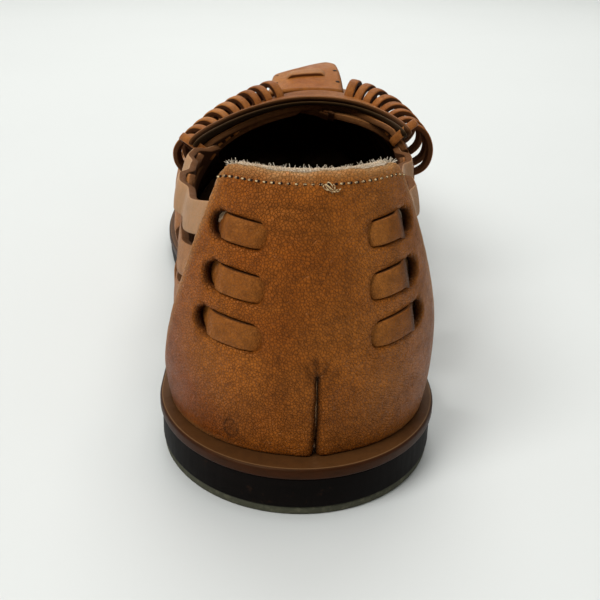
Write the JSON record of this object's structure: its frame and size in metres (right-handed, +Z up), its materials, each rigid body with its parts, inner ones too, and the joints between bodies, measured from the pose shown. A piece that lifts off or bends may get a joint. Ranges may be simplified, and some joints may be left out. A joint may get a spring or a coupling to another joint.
{
  "type": "huarache sandal",
  "caption": "Woven leather huarache sandal for the left foot, with a laced one-piece heel counter, crossed straps and a flat layered sole",
  "frame": {"origin": "the middle of the floor area that the sandal covers, on the floor", "axes": "+Y to the toe, +X to the inner (medial) side of this left shoe, +Z up"},
  "size_m": [0.0964, 0.29, 0.074],
  "materials": {
    "tread_rubber": "matt grey-green rubber, thin tread layer",
    "dark_sole": "near-black dark brown sole layer, smooth ground edge",
    "welt_leather": "waxed brown leather, red-brown burnished edge",
    "insole_leather": "worn tan leather",
    "counter_leather": "caramel full-grain leather, mottled and slightly scuffed",
    "strap_leather": "caramel leather straps with pale cut edges",
    "band_leather": "brown leather band with an olive-brown lining",
    "plug_leather": "tan leather"
  },
  "bodies": {
    "root": {"tread": "tread_rubber", "midsole": "dark_sole", "welt": "welt_leather", "insole": "insole_leather", "heel_counter": "counter_leather", "upper": "strap_leather", "throat_band": "band_leather", "plug": "plug_leather"}
  },
  "joints": []
}
